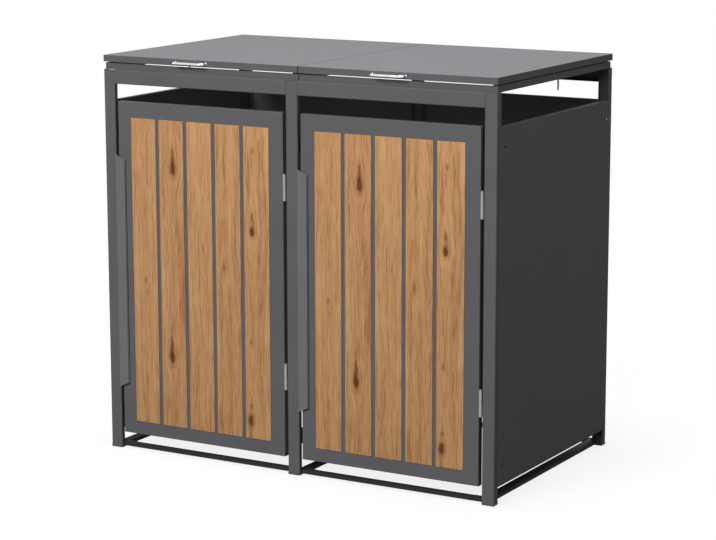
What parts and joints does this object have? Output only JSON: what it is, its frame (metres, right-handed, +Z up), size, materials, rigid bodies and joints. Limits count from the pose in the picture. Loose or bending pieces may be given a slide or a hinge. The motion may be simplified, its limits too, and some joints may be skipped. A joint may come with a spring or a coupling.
{
  "type": "wheelie bin store",
  "caption": "Steel store for wheelie bins, with a folded post frame, sheet panels, hung doors with upright wood-look slats and folded grips, and flat lids hinged at the rear.",
  "frame": {"origin": "at ground level under the middle of the store's bounding box", "axes": "+Z up; the doors face -Y; +X to the right as one faces the doors"},
  "size_m": [1.372, 0.8292, 1.25],
  "materials": {
    "powder_coat": "matte anthracite powder coat",
    "light_coat": "matte grey powder coat",
    "grey_plastic": "matte",
    "dark_coat": "matte dark powder coat",
    "oak_decor": "satin knotty oak decor",
    "chrome": "polished",
    "zinc": "bright zinc",
    "black_plastic": "matte",
    "dark_screw": "satin black"
  },
  "bodies": {
    "frame": {"front_left_post": "powder_coat", "front_middle_post": "powder_coat", "front_right_post": "powder_coat", "rear_left_post": "powder_coat", "rear_middle_post": "powder_coat", "rear_right_post": "powder_coat", "post_feet": "grey_plastic", "front_top_rail_left": "powder_coat", "front_top_rail_right": "powder_coat", "rear_top_rail_left": "powder_coat", "rear_top_rail_right": "powder_coat", "side_top_rail_left": "powder_coat", "side_top_rail_right": "powder_coat", "middle_top_rail": "powder_coat", "front_header_left": "powder_coat", "front_header_right": "powder_coat", "front_base_rail_left": "dark_coat", "front_base_rail_right": "dark_coat", "rear_base_rail_left": "dark_coat", "rear_base_rail_right": "dark_coat", "side_base_rail_left": "dark_coat", "side_base_rail_right": "dark_coat", "middle_base_rail": "dark_coat", "side_panel_left": "powder_coat", "side_panel_right": "powder_coat", "rear_panel_left": "powder_coat", "rear_panel_right": "powder_coat", "panel_corner_brackets": "powder_coat", "frame_screws": "dark_screw", "lid_rest_bolts": "zinc", "lid_hinge_frame_leaves": "zinc", "lid_hinge_pins": "zinc", "door_hinge_post_leaves": "zinc", "door_hinge_pins": "zinc", "door_catches": "black_plastic"},
    "door_left": {"door_left_pan": "powder_coat", "door_left_slat_1": "oak_decor", "door_left_slat_2": "oak_decor", "door_left_slat_3": "oak_decor", "door_left_slat_4": "oak_decor", "door_left_slat_5": "oak_decor", "door_left_grip": "light_coat", "door_left_hinge_leaves": "zinc"},
    "door_right": {"door_right_pan": "powder_coat", "door_right_slat_1": "oak_decor", "door_right_slat_2": "oak_decor", "door_right_slat_3": "oak_decor", "door_right_slat_4": "oak_decor", "door_right_slat_5": "oak_decor", "door_right_grip": "light_coat", "door_right_hinge_leaves": "zinc"},
    "lid_left": {"lid_left": "powder_coat", "lid_left_stiffener": "powder_coat", "lid_left_handle": "chrome", "lid_left_hinge_leaves": "zinc"},
    "lid_right": {"lid_right": "powder_coat", "lid_right_stiffener": "powder_coat", "lid_right_handle": "chrome", "lid_right_hinge_leaves": "zinc"}
  },
  "joints": [
    {"name": "door_left_swing", "type": "hinge", "parent": "frame", "child": "door_left", "pos_m": [-0.0255, -0.39165, 0.595], "axis": [0, 0, 1], "range_deg": [0, 120]},
    {"name": "door_right_swing", "type": "hinge", "parent": "frame", "child": "door_right", "pos_m": [0.6345, -0.39165, 0.595], "axis": [0, 0, 1], "range_deg": [0, 120]},
    {"name": "lid_left_lift", "type": "hinge", "parent": "frame", "child": "lid_left", "pos_m": [-0.32975, 0.40965, 1.22775], "axis": [-1, 0, 0], "range_deg": [0, 100]},
    {"name": "lid_right_lift", "type": "hinge", "parent": "frame", "child": "lid_right", "pos_m": [0.35175, 0.40965, 1.22775], "axis": [-1, 0, 0], "range_deg": [0, 100]}
  ]
}
